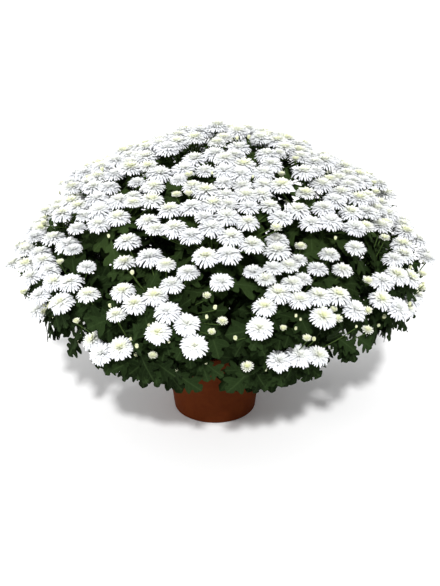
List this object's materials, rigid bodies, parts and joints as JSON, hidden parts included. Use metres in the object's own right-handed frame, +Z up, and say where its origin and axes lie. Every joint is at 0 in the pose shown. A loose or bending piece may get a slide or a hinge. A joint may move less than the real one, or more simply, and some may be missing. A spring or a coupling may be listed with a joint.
{
  "type": "pot chrysanthemum",
  "caption": "Potted chrysanthemum: a round bush of white double blooms over dark lobed leaves, standing in a plain tapered flower pot.",
  "frame": {"origin": "centre of the pot's flat base, on the surface it stands on", "axes": "+Z up; -Y towards the viewer and +X to the viewer's right"},
  "size_m": [0.8776, 0.8688, 0.6167],
  "materials": {
    "pot": "satin",
    "soil": "matte",
    "leaves": "matte",
    "petals": "matte"
  },
  "bodies": {
    "root": {"pot": "pot", "soil": "soil", "spray_01_leafy_stem": "leaves", "spray_01_blooms": "petals", "spray_02_leafy_stem": "leaves", "spray_02_blooms": "petals", "spray_03_leafy_stem": "leaves", "spray_03_blooms": "petals", "spray_04_leafy_stem": "leaves", "spray_04_blooms": "petals", "spray_05_leafy_stem": "leaves", "spray_05_blooms": "petals", "spray_06_leafy_stem": "leaves", "spray_06_blooms": "petals", "spray_07_leafy_stem": "leaves", "spray_07_blooms": "petals", "spray_08_leafy_stem": "leaves", "spray_08_blooms": "petals", "spray_09_leafy_stem": "leaves", "spray_09_blooms": "petals", "spray_10_leafy_stem": "leaves", "spray_10_blooms": "petals", "spray_11_leafy_stem": "leaves", "spray_11_blooms": "petals", "spray_12_leafy_stem": "leaves", "spray_12_blooms": "petals", "spray_13_leafy_stem": "leaves", "spray_13_blooms": "petals", "spray_14_leafy_stem": "leaves", "spray_14_blooms": "petals", "spray_15_leafy_stem": "leaves", "spray_15_blooms": "petals", "spray_16_leafy_stem": "leaves", "spray_16_blooms": "petals", "spray_17_leafy_stem": "leaves", "spray_17_blooms": "petals", "spray_18_leafy_stem": "leaves", "spray_18_blooms": "petals", "spray_19_leafy_stem": "leaves", "spray_19_blooms": "petals", "spray_20_leafy_stem": "leaves", "spray_20_blooms": "petals", "spray_21_leafy_stem": "leaves", "spray_21_blooms": "petals", "spray_22_leafy_stem": "leaves", "spray_22_blooms": "petals", "spray_23_leafy_stem": "leaves", "spray_23_blooms": "petals", "spray_24_leafy_stem": "leaves", "spray_24_blooms": "petals", "spray_25_leafy_stem": "leaves", "spray_25_blooms": "petals", "spray_26_leafy_stem": "leaves", "spray_26_blooms": "petals", "spray_27_leafy_stem": "leaves", "spray_27_blooms": "petals", "spray_28_leafy_stem": "leaves", "spray_28_blooms": "petals"}
  },
  "joints": []
}
